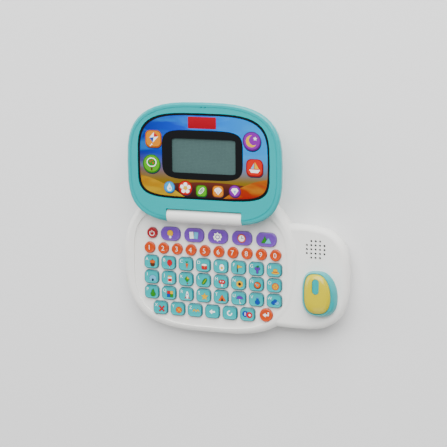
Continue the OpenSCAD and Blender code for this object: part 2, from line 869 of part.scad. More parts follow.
module lid_panel() {
    color("royalblue") lid_frame() translate([0, 0, panel_floor]) linear_extrude(panel_t) difference() {
        panel_shape(0);
        screen_window(0);
    }
}

module lcd_screen() {
    color("darkslategray") lid_frame() translate([screen_at[0], screen_at[1], panel_floor - lcd_t]) {
        translate([-lcd_w / 2, -lcd_l / 2, 0]) cube([lcd_w, lcd_l, lcd_t]);
    }
}

// ---- Parts ----

top_housing();
bottom_housing();
battery_cover();
batteries();
battery_contacts();
key_mat();
circuit_board();
speaker();
screws();
mouse_body();
mouse_cover();
lid_front();
lid_back();
lid_panel();
lcd_screen();
color("crimson") key("power", power_at);  // power_key
color("orangered") key("enter", enter_at);  // enter_key
color("darkturquoise") key("letter", letter_at(n_tilde_i));  // letter_key_n_tilde
color("darkturquoise") for (i = function_i) key("letter", letter_at(i));  // function_keys
for (i = [1 : modes]) color("mediumpurple") key("mode", mode_at(i - 1));
for (i = [0 : numbers - 1]) color("orangered") key("number", number_at(i));
for (i = [0 : len(letters) - 1]) color("darkturquoise") key("letter", letter_at(letter_i(i)));
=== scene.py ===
import math
import bpy
import bmesh
from mathutils import Matrix, Vector
from mathutils.bvhtree import BVHTree


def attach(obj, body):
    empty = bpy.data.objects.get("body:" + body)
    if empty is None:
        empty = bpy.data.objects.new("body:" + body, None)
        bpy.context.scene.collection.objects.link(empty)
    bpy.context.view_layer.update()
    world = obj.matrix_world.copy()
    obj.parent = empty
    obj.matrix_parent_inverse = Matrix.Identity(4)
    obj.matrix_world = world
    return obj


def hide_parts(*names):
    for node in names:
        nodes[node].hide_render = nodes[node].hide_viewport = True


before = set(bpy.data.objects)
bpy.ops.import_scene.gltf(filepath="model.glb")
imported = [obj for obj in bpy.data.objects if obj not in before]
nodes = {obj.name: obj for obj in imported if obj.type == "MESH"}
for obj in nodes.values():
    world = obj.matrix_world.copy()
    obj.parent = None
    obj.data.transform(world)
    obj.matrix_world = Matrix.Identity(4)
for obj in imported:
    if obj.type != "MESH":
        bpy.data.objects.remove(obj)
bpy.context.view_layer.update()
mm = 0.001

# Where the sloping deck and the opened lid lie, in millimetres
deck = {"frontY": -87.0, "height": 24.0, "tilt": 4.0, "lidX": -27.7, "hingeY": 49.0, "axisUp": 9.6}

deckPlace = (Matrix.Translation((0, deck["frontY"], deck["height"]))
             @ Matrix.Rotation(math.radians(deck["tilt"]), 4, "X")
             @ Matrix.Translation((0, -deck["frontY"], 0)))
lidPlace = deckPlace @ Matrix.Translation((deck["lidX"], deck["hingeY"], deck["axisUp"]))


def linear(hexColour):
    parts = [int(hexColour[i:i + 2], 16) / 255 for i in (1, 3, 5)]
    return tuple(c / 12.92 if c <= 0.04045 else ((c + 0.055) / 1.055) ** 2.4 for c in parts) + (1.0,)


def addNode(tree, kind, settings=None, **links):
    # links holds a value or another node's output for each input, _ for a space in its name
    node = tree.nodes.new(kind)
    for key, value in (settings or {}).items():
        setattr(node, key, value)
    for key, value in links.items():
        slot = node.inputs[int(key[1:])] if key[1:].isdigit() else node.inputs[key.replace("_", " ")]
        if isinstance(value, bpy.types.NodeSocket):
            tree.links.new(value, slot)
        else:
            slot.default_value = value
    return node


def freshMaterial(name):
    material = bpy.data.materials.new(name)
    material.use_nodes = True
    material.node_tree.nodes.clear()
    return material, material.node_tree


def close(tree, shader):
    addNode(tree, "ShaderNodeOutputMaterial", Surface=shader.outputs[0])


plastic = {"ior": 1.5, "cloudSize": 35.0, "wearSize": 12.0, "wear": 0.08, "bump": 0.35, "coatRoughness": 0.12}


def mouldedPlastic(name, colour, roughness, grain, grainDepth, coat=0.0, tint=0.06):
    # Injection-moulded ABS: even colour with a faint cloudiness from the flow of the melt, and the
    # grain of the spark-eroded mould, which spreads the highlights
    material, tree = freshMaterial(name)
    place = addNode(tree, "ShaderNodeTexCoord").outputs["Object"]
    cloud = addNode(tree, "ShaderNodeTexNoise", Vector=place, Scale=1 / (plastic["cloudSize"] * mm), Detail=3.0,
                    Roughness=0.55)
    base = linear(colour)
    dark = tuple(c * (1 - tint) for c in base[:3]) + (1.0,)
    light = tuple(min(1.0, c * (1 + tint * 0.6)) for c in base[:3]) + (1.0,)
    blend = addNode(tree, "ShaderNodeMix", {"data_type": "RGBA"}, Factor=cloud.outputs["Fac"], _6=dark,
                    _7=light)
    pit = addNode(tree, "ShaderNodeTexNoise", Vector=place, Scale=1 / (grain * mm), Detail=2.0, Roughness=0.6)
    handled = addNode(tree, "ShaderNodeTexNoise", Vector=place, Scale=1 / (plastic["wearSize"] * mm), Detail=4.0,
                      Roughness=0.6)
    rough = addNode(tree, "ShaderNodeMapRange", Value=handled.outputs["Fac"],
                    To_Min=roughness * (1 - plastic["wear"]), To_Max=roughness * (1 + plastic["wear"]))
    bump = addNode(tree, "ShaderNodeBump", Height=pit.outputs["Fac"], Strength=plastic["bump"],
                   Distance=grainDepth * mm)
    close(tree, addNode(tree, "ShaderNodeBsdfPrincipled", Base_Color=blend.outputs[2], Roughness=rough.outputs[0],
                        Normal=bump.outputs[0], IOR=plastic["ior"], Coat_Weight=coat,
                        Coat_Roughness=plastic["coatRoughness"]))
    return material


def paddedInk(name, colour, roughness=0.35, level=0.5, coat=0.0):
    # Pad-printed ink: a thin flat film, slightly uneven where the pad pressed. Behind the clear
    # sheet of the panel it has no shine of its own and the sheet's gloss lies over it
    material, tree = freshMaterial(name)
    place = addNode(tree, "ShaderNodeTexCoord").outputs["Object"]
    speck = addNode(tree, "ShaderNodeTexNoise", Vector=place, Scale=1 / 0.0008, Detail=2.0)
    base = linear(colour)
    thin = tuple(c * 0.93 for c in base[:3]) + (1.0,)
    blend = addNode(tree, "ShaderNodeMix", {"data_type": "RGBA"}, Factor=speck.outputs["Fac"], _6=base,
                    _7=thin)
    close(tree, addNode(tree, "ShaderNodeBsdfPrincipled", Base_Color=blend.outputs[2], Roughness=roughness,
                        Specular_IOR_Level=level, Coat_Weight=coat, Coat_Roughness=0.06))
    return material


finishes = {
    "whiteAbs": mouldedPlastic("moulded_abs_white", "#f1f0ec", 0.36, 0.5, 0.03, tint=0.03),
    "tealAbs": mouldedPlastic("moulded_abs_teal", "#009fa2", 0.3, 0.5, 0.004, coat=0.15),
    # Dark teal of the two lid dots: painted shade of two small holes
    "tealHoleShade": mouldedPlastic("teal_dots_painted_hole_shade", "#004a50", 0.3, 0.5, 0.02),
    # Darker teal on the shoulder and skirt of the letter and function keys: painted shade. The face above it takes
    # the keys' own teal
    "tealKey": mouldedPlastic("teal_key_rim_painted_shade", "#006c74", 0.3, 0.5, 0.004, coat=0.15),
    "tealFace": mouldedPlastic("moulded_abs_key_face_teal", "#0aa6aa", 0.32, 0.5, 0.004, coat=0.1),
    "orangeKey": mouldedPlastic("moulded_abs_key_orange", "#c24000", 0.3, 0.5, 0.02, coat=0.15),
    "purpleKey": mouldedPlastic("moulded_abs_key_purple", "#6a3ca6", 0.3, 0.5, 0.02, coat=0.15),
    "redKey": mouldedPlastic("moulded_abs_key_red", "#980418", 0.3, 0.5, 0.02, coat=0.15),
    "yellowAbs": mouldedPlastic("moulded_abs_yellow", "#c8b800", 0.26, 0.5, 0.004, coat=0.15),
    "blackSheet": mouldedPlastic("cut_polycarbonate_black", "#0b0c0f", 0.25, 0.4, 0.01),
    "siliconeMat": mouldedPlastic("moulded_silicone_grey", "#b9bcc0", 0.6, 0.3, 0.02),
    "boardLacquer": mouldedPlastic("lacquered_fibreglass_green", "#1c6b41", 0.35, 0.9, 0.02, tint=0.2),
    "paperCone": mouldedPlastic("pressed_paper_black_hole_shade", "#060607", 0.9, 0.4, 0.05),
    # Black paper cone, made near-black as painted shade seen through the grille holes
    "cellSleeve": mouldedPlastic("shrunk_pvc_sleeve_grey", "#4a4d52", 0.25, 2.0, 0.01, coat=0.4),
}
ink = {
    "white": paddedInk("padded_ink_white", "#fbfbf7"),
    "yellow": paddedInk("padded_ink_yellow", "#d8a800"),
    "orange": paddedInk("padded_ink_orange", "#cc5400"),
    "red": paddedInk("padded_ink_red", "#b4081a"),
    "green": paddedInk("padded_ink_green", "#227c14"),
    "blue": paddedInk("padded_ink_blue", "#0e3c9c"),
    "sky": paddedInk("padded_ink_sky", "#5cacd0"),
    "brown": paddedInk("padded_ink_brown", "#4e260e"),
    "purple": paddedInk("padded_ink_purple", "#5a249a"),
    "dark": paddedInk("padded_ink_dark", "#141a24"),
}


def steel(name, colour, roughness, lay):
    # Zinc-plated pressed steel: a soft sheen with the rolling lay drawn out in one direction
    material, tree = freshMaterial(name)
    place = addNode(tree, "ShaderNodeTexCoord").outputs["Object"]
    drawn = addNode(tree, "ShaderNodeMapping", Vector=place, Scale=(1.0, 12.0, 1.0))
    grain = addNode(tree, "ShaderNodeTexNoise", Vector=drawn.outputs[0], Scale=1 / (lay * mm), Detail=3.0)
    rough = addNode(tree, "ShaderNodeMapRange", Value=grain.outputs["Fac"], To_Min=roughness * 0.7,
                    To_Max=roughness * 1.3)
    close(tree, addNode(tree, "ShaderNodeBsdfPrincipled", Base_Color=linear(colour), Metallic=1.0,
                        Roughness=rough.outputs[0]))
    return material


finishes["zincSteel"] = steel("pressed_steel_zinc", "#b9bdc2", 0.32, 1.2)


def lcdGlass():
    # Reflective LCD behind polished glass: grey-green crystal with a faint mesh of segments
    material, tree = freshMaterial("polished_glass_lcd")
    place = addNode(tree, "ShaderNodeTexCoord").outputs["Object"]
    mesh = addNode(tree, "ShaderNodeTexBrick", {"offset": 0.0}, Vector=place, Color1=linear("#435a59"),
                   Color2=linear("#475f5d"), Mortar=linear("#3b514f"), Scale=1.0, Mortar_Size=0.00012,
                   Brick_Width=0.0016, Row_Height=0.0016)
    cloud = addNode(tree, "ShaderNodeTexNoise", Vector=place, Scale=1 / 0.03, Detail=2.0)
    dim = addNode(tree, "ShaderNodeMapRange", Value=cloud.outputs["Fac"], To_Min=0.94, To_Max=1.04)
    tone = addNode(tree, "ShaderNodeMix", {"data_type": "RGBA", "blend_type": "MULTIPLY"}, _0=1.0,
                   _6=mesh.outputs["Color"], _7=dim.outputs[0])
    close(tree, addNode(tree, "ShaderNodeBsdfPrincipled", Base_Color=tone.outputs[2], Roughness=0.28,
                        Coat_Weight=0.6, Coat_Roughness=0.05))
    return material


finishes["lcd"] = lcdGlass()
print("finishes ready")


def roundRect(w, l, r, steps=8):
    points = []
    for quarter, (sx, sy) in enumerate(((1, 1), (-1, 1), (-1, -1), (1, -1))):
        for i in range(steps + 1):
            a = math.radians(90 * quarter + 90 * i / steps)
            points.append((sx * (w / 2 - r) + r * math.cos(a), sy * (l / 2 - r) + r * math.sin(a)))
    return points


def roundDisc(d, steps=40):
    turns = [2 * math.pi * i / steps for i in range(steps)]
    return [(d / 2 * math.cos(a), d / 2 * math.sin(a)) for a in turns]


def grown(points, by):
    # Moves each point of a convex outline outwards along its normal
    out = []
    count = len(points)
    for i, (x, y) in enumerate(points):
        ax, ay = points[i - 1]
        bx, by2 = points[(i + 1) % count]
        dx, dy = bx - ax, by2 - ay
        size = math.hypot(dx, dy) or 1.0
        out.append((x + by * dy / size, y - by * dx / size))
    return out


def loftLoops(mesh, loops, place, faceFrom=None):
    # A closed skin through the loops. From the given row on it takes the second material; on the letter keys that
    # is the face teal, above the shoulder's painted shade
    rows = [[mesh.verts.new(place @ Vector((x * mm, y * mm, z * mm))) for x, y, z in loop] for loop in loops]
    count = len(rows[0])
    for order, (low, high) in enumerate(zip(rows, rows[1:])):
        material = int(faceFrom is not None and order >= faceFrom)
        for i in range(count):
            j = (i + 1) % count
            mesh.faces.new((low[i], low[j], high[j], high[i])).material_index = material
    mesh.faces.new(list(reversed(rows[0])))
    mesh.faces.new(rows[-1]).material_index = int(faceFrom is not None)


def makePiece(name, mesh, materials, body, smoothAngle=35, stands=()):
    data = bpy.data.meshes.new(name)
    mesh.to_mesh(data)
    mesh.free()
    for material in materials:
        data.materials.append(material)
    piece = bpy.data.objects.new(name, data)
    bpy.context.scene.collection.objects.link(piece)
    data.shade_smooth()
    data.set_sharp_from_angle(angle=math.radians(smoothAngle))
    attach(piece, body)
    if stands:
        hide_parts(*stands)
    return piece


def metres(place):
    # The same placement with its shift in metres
    out = place.copy()
    out.translation = place.translation * mm
    return out


deckM = metres(deckPlace)
lidM = metres(lidPlace)

def dress(node, material, edge, angle):
    # Keeps the CAD shape and takes the hard line off its edges
    piece = nodes[node]
    piece.data.materials.clear()
    piece.data.materials.append(material)
    for face in piece.data.polygons:
        face.use_smooth = True
    weld = piece.modifiers.new("weld", "WELD")
    weld.merge_threshold = 0.000004
    if edge:
        flat = piece.modifiers.new("flat", "DECIMATE")
        flat.decimate_type = "DISSOLVE"
        flat.angle_limit = math.radians(0.5)
        bevel = piece.modifiers.new("edge", "BEVEL")
        bevel.width = edge * mm
        bevel.segments = 2
        bevel.limit_method = "ANGLE"
        bevel.angle_limit = math.radians(angle)
        bevel.use_clamp_overlap = True
    else:
        split = piece.modifiers.new("split", "EDGE_SPLIT")
        split.split_angle = math.radians(angle)
    even = piece.modifiers.new("even", "WEIGHTED_NORMAL")
    even.mode = "FACE_AREA"
    even.keep_sharp = True


# Finish of each CAD piece, with the rounding of its edges in mm and the angle from which an edge counts
dressing = {
    "top_housing": ("whiteAbs", 0.35, 50), "bottom_housing": ("whiteAbs", 0.3, 50),
    "battery_cover": ("whiteAbs", 0.3, 38), "batteries": ("cellSleeve", 0.0, 38),
    "battery_contacts": ("zincSteel", 0.0, 38), "key_mat": ("siliconeMat", 0.0, 38),
    "circuit_board": ("boardLacquer", 0.0, 38), "speaker": ("paperCone", 0.0, 38), "screws": ("zincSteel", 0.0, 38),
    "mouse_body": ("tealAbs", 0.25, 50), "mouse_cover": ("yellowAbs", 0.3, 50), "lid_front": ("tealAbs", 0.25, 50),
    "lid_back": ("tealAbs", 0.25, 50), "lid_panel": ("blackSheet", 0.0, 38), "lcd_screen": ("lcd", 0.0, 38),
}
for node, (finish, edge, angle) in dressing.items():
    dress(node, finishes[finish], edge, angle)
print("CAD pieces dressed")

# Key caps, in millimetres on the deck. Places count from the middle of the first square key
keys = {
    "pitchX": 21.0, "pitchY": 17.6, "row1Y": -8.5, "col1X": -98.0, "numberPitch": 16.7, "modePitch": 28.5,
    "numberX": -1.9, "numberY": 16.4, "modeX": 23.8, "modeY": 17.2, "powerX": 1.5, "enterX": 137.3, "enterY": 0.8,
    "lastRow": 3, "lastRowShift": 0.5, "lastRowDown": 0.2, "functionColumns": (3, 4, 5),
    "letter": (17.4, 15.2, 4.6), "number": 12.8, "mode": (23.4, 15.6), "power": 12.4, "enter": 15.0,
    "modeRound": 0.86, "top": 1.0, "flangeUnder": -5.5, "flangeTop": -4.5, "flange": 0.9, "shoulder": 0.9,
    # The last value is the loop from which the letter keys take their face teal; the shoulder and skirt below it
    # take the darker teal, painted shade
    "shoulderTurns": (0, 22, 45, 67, 90), "dish": 0.3, "faceRow": 7,
}


def keyOutline(kind):
    if kind == "letter":
        return roundRect(*keys["letter"])
    if kind == "mode":
        w, l = keys["mode"]
        return roundRect(w, l, l / 2 * keys["modeRound"], 10)
    return roundDisc(keys[kind])


def squareAt(column, row):
    last = row == keys["lastRow"]
    return (keys["col1X"] + keys["pitchX"] * (column + (keys["lastRowShift"] if last else 0)),
            keys["row1Y"] - keys["pitchY"] * row - (keys["lastRowDown"] if last else 0))


def keyPlaces():
    # Kind, place and finish of each key that has a body of its own
    out = {}
    for i, name in enumerate(list("abcdefghijklmn") + ["n_tilde"] + list("opqrstuvwxyz")):
        row, column = divmod(i, 8)
        out["letter_key_" + name] = ("letter", *squareAt(column, row), "tealKey")
    numberX, numberY = keys["col1X"] + keys["numberX"], keys["row1Y"] + keys["numberY"]
    modeX, modeY = keys["col1X"] + keys["modeX"], numberY + keys["modeY"]
    for i in range(10):
        out["number_key_%d" % ((i + 1) % 10)] = ("number", numberX + i * keys["numberPitch"], numberY, "orangeKey")
    for i in range(5):
        out["mode_key_%d" % (i + 1)] = ("mode", modeX + i * keys["modePitch"], modeY, "purpleKey")
    out["power_key"] = ("power", keys["col1X"] + keys["powerX"], modeY, "redKey")
    enterY = squareAt(0, keys["lastRow"])[1] + keys["enterY"]
    out["enter_key"] = ("enter", keys["col1X"] + keys["enterX"], enterY, "orangeKey")
    return out


def keyLoops(kind, x, y):
    # Flange, straight skirt, rounded shoulder and a face that is a touch hollow for the fingertip
    outline = keyOutline(kind)
    r, top, dish = keys["shoulder"], keys["top"], keys["dish"]
    flange, under, over = keys["flange"], keys["flangeUnder"], keys["flangeTop"]
    profile = [(flange, under), (flange, over), (0, over)]
    for turn in keys["shoulderTurns"]:
        a = math.radians(turn)
        profile.append((-r * (1 - math.cos(a)), top - r * (1 - math.sin(a))))
    profile += [(-r - 0.3, top), (-r - 0.7, top - dish * 0.8), (-r - 1.1, top - dish)]
    return [[(px + x, py + y, z) for px, py in grown(outline, by)] for by, z in profile]


def makeKey(name, places, kind, finish):
    mesh = bmesh.new()
    materials = [finishes[finish]]
    # Letter and function keys: darker teal as painted shade on shoulder and skirt, the keys' own teal on the face
    if kind == "letter":
        materials.append(finishes["tealFace"])
    for x, y in places:
        loftLoops(mesh, keyLoops(kind, x, y), deckM, keys["faceRow"] if kind == "letter" else None)
    return makePiece("cap_" + name, mesh, materials, name, 40, [name])


keyAt = keyPlaces()
for keyName, (kind, x, y, finish) in keyAt.items():
    makeKey(keyName, [(x, y)], kind, finish)
functionAt = [squareAt(column, keys["lastRow"]) for column in keys["functionColumns"]]
makeKey("function_keys", functionAt, "letter", "tealKey")
print("keys made")


def disc(colour, x, y, r, ry=None, turn=0, steps=20):
    c, s = math.cos(math.radians(turn)), math.sin(math.radians(turn))
    points = []
    for i in range(steps):
        a = 2 * math.pi * i / steps
        u, v = r * math.cos(a), (ry or r) * math.sin(a)
        points.append((x + u * c - v * s, y + u * s + v * c))
    return colour, points


def bar(colour, x, y, w, l, turn=0):
    c, s = math.cos(math.radians(turn)), math.sin(math.radians(turn))
    corners = ((-w / 2, -l / 2), (w / 2, -l / 2), (w / 2, l / 2), (-w / 2, l / 2))
    return colour, [(x + u * c - v * s, y + u * s + v * c) for u, v in corners]


def spike(colour, x, y, r, tips, inner=0.5, turn=90):
    points = []
    for i in range(2 * tips):
        a = math.radians(turn + 180 * i / tips)
        d = r if i % 2 == 0 else r * inner
        points.append((x + d * math.cos(a), y + d * math.sin(a)))
    return colour, points


def shape(colour, *points):
    return colour, list(points)


# Small pictures for the letter keys, each drawn within one unit of its middle
pictures = {
    "a": [disc("brown", 0, -0.3, 0.55, 0.6), disc("orange", 0, 0.25, 0.65, 0.38),
          bar("brown", 0, 0.72, 0.14, 0.35)],
    "b": [disc("red", 0, 0.25, 0.6, 0.7), shape("red", (-0.16, -0.62), (0.16, -0.62), (0, -0.38)),
          bar("white", 0, -0.82, 0.07, 0.4)],
    "c": [shape("orange", (-0.35, 0.35), (0, -0.95), (0.35, 0.35)),
          shape("green", (-0.35, 0.9), (0, 0.35), (0.35, 0.9), (0, 0.7))],
    "d": [bar("red", 0, -0.15, 1.3, 0.8), disc("white", 0, 0.3, 0.65, 0.24), disc("red", 0, -0.52, 0.65, 0.24),
          bar("yellow", 0, -0.12, 0.1, 0.75, 20)],
    "e": [disc("white", 0, 0, 0.58, 0.78), disc("yellow", 0, -0.1, 0.3)],
    "f": [bar("brown", -0.5, 0, 0.14, 1.8), shape("yellow", (-0.43, 0.85), (0.8, 0.45), (-0.43, 0.05))],
    "g": [disc("purple", -0.33, 0.3, 0.3), disc("purple", 0.33, 0.3, 0.3), disc("purple", 0, -0.15, 0.3),
          disc("purple", 0, -0.6, 0.26), disc("green", 0.1, 0.78, 0.32, 0.16, 20)],
    "h": [disc("yellow", 0, -0.4, 0.92, 0.3), disc("yellow", 0, 0.05, 0.5, 0.5),
          bar("red", 0, -0.22, 1.0, 0.2)],
    "i": [disc("sky", 0, -0.05, 0.85, 0.7), bar("sky", 0, -0.5, 1.6, 0.4), disc("dark", 0, -0.45, 0.26, 0.3)],
    "j": [bar("white", 0, -0.15, 1.0, 1.2), bar("red", 0, -0.25, 0.9, 0.7), bar("yellow", 0, 0.62, 0.85, 0.25)],
    "k": [shape("green", (0, 0.95), (0.6, 0.3), (0, -0.6), (-0.6, 0.3)),
          shape("yellow", (0, 0.95), (0.6, 0.3), (0, 0.3)), disc("red", 0.1, -0.8, 0.12)],
    "l": [disc("green", 0, 0, 0.42, 0.9, -35), bar("yellow", 0, 0, 0.08, 1.5, -35)],
    "m": [bar("white", 0, -0.4, 0.4, 0.9), disc("red", 0, 0.2, 0.8, 0.5), disc("white", -0.3, 0.3, 0.14),
          disc("white", 0.3, 0.25, 0.14)],
    "n": [spike("yellow", 0, 0, 0.85, 6, 0.87, 30), disc("dark", 0, 0, 0.36)],
    "n_tilde": [disc("brown", 0, 0, 0.82), disc("orange", 0, 0.06, 0.7), disc("tealGround", 0, 0.03, 0.27),
                bar("white", -0.4, 0.3, 0.22, 0.08, 30), bar("yellow", 0.42, 0.2, 0.22, 0.08, -40),
                bar("red", 0.1, -0.5, 0.22, 0.08, 10)],
    "o": [disc("orange", 0, 0, 0.8), disc("yellow", 0, 0, 0.62), bar("orange", 0, 0, 0.08, 1.3),
          bar("orange", 0, 0, 0.08, 1.3, 60), bar("orange", 0, 0, 0.08, 1.3, -60)],
    "p": [disc("green", 0, -0.3, 0.62, 0.58), disc("green", 0, 0.3, 0.36, 0.5),
          bar("brown", 0.08, 0.85, 0.1, 0.3, -15)],
    "q": [bar("red", -0.38, 0.38, 0.7, 0.7), bar("yellow", 0.38, 0.38, 0.7, 0.7),
          bar("blue", -0.38, -0.38, 0.7, 0.7), bar("green", 0.38, -0.38, 0.7, 0.7)],
    "r": [disc("white", 0, 0.05, 0.34, 0.9), shape("red", (-0.34, -0.2), (-0.7, -0.8), (-0.2, -0.6)),
          shape("red", (0.34, -0.2), (0.7, -0.8), (0.2, -0.6)), disc("blue", 0, 0.25, 0.17)],
    "s": [spike("yellow", 0, 0, 0.95, 5, 0.45)],
    "t": [shape("orange", (0, 0.8), (-0.95, -0.7), (0.95, -0.7)),
          shape("dark", (0, 0.15), (-0.3, -0.7), (0.3, -0.7))],
    "u": [shape("purple", (-0.9, 0.1), (-0.6, 0.6), (0, 0.85), (0.6, 0.6), (0.9, 0.1)),
          bar("white", 0, -0.4, 0.1, 1.0), disc("white", 0.14, -0.85, 0.2, 0.12)],
    "v": [disc("blue", 0, -0.35, 0.55, 0.55), bar("blue", 0, 0.25, 0.45, 0.9), bar("sky", 0, 0.68, 0.75, 0.16)],
    "w": [disc("blue", -0.45, -0.2, 0.5, 0.42), disc("sky", 0.4, -0.2, 0.5, 0.42),
          disc("blue", -0.05, 0.2, 0.42, 0.4)],
    "x": [bar("red", 0, 0, 0.32, 1.8, 45), bar("red", 0, 0, 0.32, 1.8, -45)],
    "y": [disc("orange", 0, 0, 0.72), bar("yellow", 0, 0.1, 0.12, 1.3, 50),
          bar("yellow", 0.1, -0.1, 0.12, 1.2, 50), bar("yellow", 0, 0, 0.12, 1.3, -40)],
    "z": [shape("yellow", (-0.8, 0.1), (-0.4, 0.6), (0, 0.1), (0.4, 0.6), (0.8, 0.1),
                (0.8, -0.25), (0.4, 0.25), (0, -0.25), (-0.4, 0.25), (-0.8, -0.25))],
    "kite": [shape("white", (0.1, 0.95), (0.75, 0.35), (-0.1, -0.55), (-0.6, 0.15)),
             shape("red", (0.1, 0.95), (0.75, 0.35), (0.08, 0.25)),
             shape("blue", (-0.6, 0.15), (0.08, 0.25), (-0.1, -0.55)), disc("white", -0.25, -0.8, 0.1),
             disc("white", -0.45, -0.98, 0.09)],
    "tree": [bar("brown", 0, -0.6, 0.22, 0.6), disc("white", 0, 0.2, 0.7, 0.62),
             disc("green", 0, 0.2, 0.58, 0.5), disc("red", -0.2, 0.3, 0.12), disc("red", 0.22, 0.1, 0.12),
             disc("red", 0.1, 0.45, 0.1)],
    "moon": [disc("yellow", -0.05, 0, 0.78), disc("badgePurple", 0.25, 0.15, 0.66),
             spike("white", 0.45, 0.35, 0.3, 5, 0.45)],
    "boat": [shape("white", (-0.8, -0.25), (0.8, -0.25), (0.5, -0.7), (-0.5, -0.7)),
             shape("yellow", (0.02, 0.85), (0.65, -0.12), (0.02, -0.12)),
             shape("sky", (-0.08, 0.65), (-0.08, -0.12), (-0.55, -0.12))],
    "drop": [disc("white", 0, -0.25, 0.55), shape("white", (-0.5, -0.1), (0, 0.9), (0.5, -0.1)),
             disc("sky", 0.12, -0.3, 0.25)],
    "flower": [disc("white", 0.62 * math.cos(a), 0.62 * math.sin(a), 0.34) for a in (0.3, 1.56, 2.81, 4.07, 5.33)]
    + [disc("yellow", 0, 0, 0.36)],
    "leaf": [disc("white", 0, 0.05, 0.42, 0.85, -40), disc("green", 0, 0.05, 0.3, 0.7, -40),
             bar("white", 0, 0, 0.08, 1.5, -40)],
    "shell": [shape("white", (0, -0.75), (0.85, 0.2), (0.6, 0.6), (0.2, 0.78), (-0.2, 0.78), (-0.6, 0.6),
                    (-0.85, 0.2)),
              bar("orange", 0, 0.05, 0.08, 1.2), bar("orange", 0.27, 0.08, 0.07, 1.1, -22),
              bar("orange", -0.27, 0.08, 0.07, 1.1, 22)],
    "gem": [shape("white", (0, -0.8), (0.8, 0.2), (0.45, 0.65), (-0.45, 0.65), (-0.8, 0.2)),
            shape("sky", (0, -0.55), (0.32, 0.15), (-0.32, 0.15))],
    "back": [shape("white", (-0.8, 0), (0, 0.7), (0, 0.25), (0.8, 0.25), (0.8, -0.25), (0, -0.25), (0, -0.7))],
    "pair": [disc("blue", -0.55, 0.12, 0.86), disc("red", 0.6, -0.1, 0.86),
             bar("white", -0.62, 0.12, 0.2, 0.85), disc("white", 0.68, -0.1, 0.32)],
    "again": [disc("white", 0, 0, 0.75), disc("tealGround", 0, 0, 0.42),
              shape("tealGround", (0, 0), (0.9, 0.2), (0.9, 0.95), (0.2, 0.95))],
    "mode1": [disc("yellow", 0, 0.15, 0.55), bar("white", 0, -0.55, 0.4, 0.4)],
    "mode2": [bar("white", -0.42, 0, 0.75, 1.2, 6), bar("sky", 0.42, 0, 0.75, 1.2, -6)],
    "mode3": [spike("white", 0, 0, 0.85, 8, 0.72), disc("purple", 0, 0, 0.42), disc("white", 0, 0, 0.28)],
    "mode4": [disc("orange", 0, 0, 0.75), disc("white", 0, 0, 0.55), bar("dark", 0, 0.2, 0.1, 0.45),
              bar("dark", 0.15, 0, 0.4, 0.1)],
    "mode5": [shape("green", (-0.9, -0.6), (-0.2, 0.7), (0.4, -0.6)),
              shape("sky", (-0.2, -0.6), (0.45, 0.4), (0.95, -0.6))],
}
# Stamps in the keys' face teal show the face through a picture
ink["tealGround"] = finishes["tealFace"]


def glyph(text, size, x, y, weight):
    # One plain character as flat triangles, centred on x, y
    curve = bpy.data.curves.new("glyph", "FONT")
    curve.body = text
    curve.size = size
    curve.offset = weight * size * 0.35
    curve.align_x = "CENTER"
    curve.align_y = "CENTER"
    holder = bpy.data.objects.new("glyph", curve)
    bpy.context.scene.collection.objects.link(holder)
    bpy.context.view_layer.update()
    data = bpy.data.meshes.new_from_object(holder)
    points = [(v.co.x + x, v.co.y + y) for v in data.vertices]
    faces = [tuple(p.vertices) for p in data.polygons]
    bpy.data.objects.remove(holder)
    bpy.data.curves.remove(curve)
    bpy.data.meshes.remove(data)
    return points, faces


# Height of each ink film over the last, in mm
filmStep = 0.012


def printPiece(name, body, drawings, place, level):
    # A drawing is a list of stamps, (colour, outline) or (colour, points, faces), each above the last
    mesh = bmesh.new()
    colours = []
    for order, stamp in [pair for drawing in drawings for pair in enumerate(drawing)]:
        colour, points = stamp[0], stamp[1]
        if colour not in colours:
            colours.append(colour)
        z = level + filmStep * (order + 1)
        corners = [mesh.verts.new(place @ Vector((x * mm, y * mm, z * mm))) for x, y in points]
        for face in (stamp[2] if len(stamp) > 2 else [range(len(corners))]):
            made = mesh.faces.new([corners[i] for i in face])
            made.material_index = colours.index(colour)
    bmesh.ops.triangulate(mesh, faces=[f for f in mesh.faces if len(f.verts) > 4])
    bmesh.ops.recalc_face_normals(mesh, faces=mesh.faces)
    for face in mesh.faces:
        if face.normal.z < 0:
            face.normal_flip()
    return makePiece(name, mesh, [ink[c] for c in colours], body, 35)


def moved(stamps, x, y, scale):
    return [(c, [(x + scale * u, y + scale * v) for u, v in points]) for c, points in stamps]


def outlined(stamps, by):
    # A dark line round the whole picture: each stamp first in dark and a little larger
    under = []
    for colour, points in stamps:
        turn = sum(ax * by2 - bx * ay for (ax, ay), (bx, by2) in zip(points, points[1:] + points[:1]))
        under.append(("dark", grown(points, by if turn > 0 else -by)))
    return under + stamps


# Size and place of the prints on a cap, in mm; outline is the dark line round a picture
prints = {
    "letterPicture": {"x": 1.6, "y": -1.0, "scale": 5.0, "outline": 0.28},
    "letter": {"x": -5.0, "y": 2.9, "size": 5.2, "weight": -0.02},
    "digit": {"x": -0.3, "y": -0.2, "size": 8.2, "weight": -0.035},
    "modePicture": {"scale": 6.4, "outline": 0.3},
    "power": {"outer": 3.1, "inner": 2.4, "down": 0.3, "barUp": 1.9, "barW": 0.7, "barL": 2.6},
    "enterScale": 4.6, "functionScale": 4.2, "functionPictures": ("back", "again", "pair"),
}
enterArrow = [shape("white", (-0.8, 0.05), (-0.05, 0.6), (-0.05, 0.25), (0.5, 0.25), (0.5, 0.8), (0.8, 0.8),
                    (0.8, -0.15), (-0.05, -0.15), (-0.05, -0.5))]


def printed(text, settings, x, y):
    return "white", *glyph(text, settings["size"], x + settings["x"], y + settings["y"], settings["weight"])


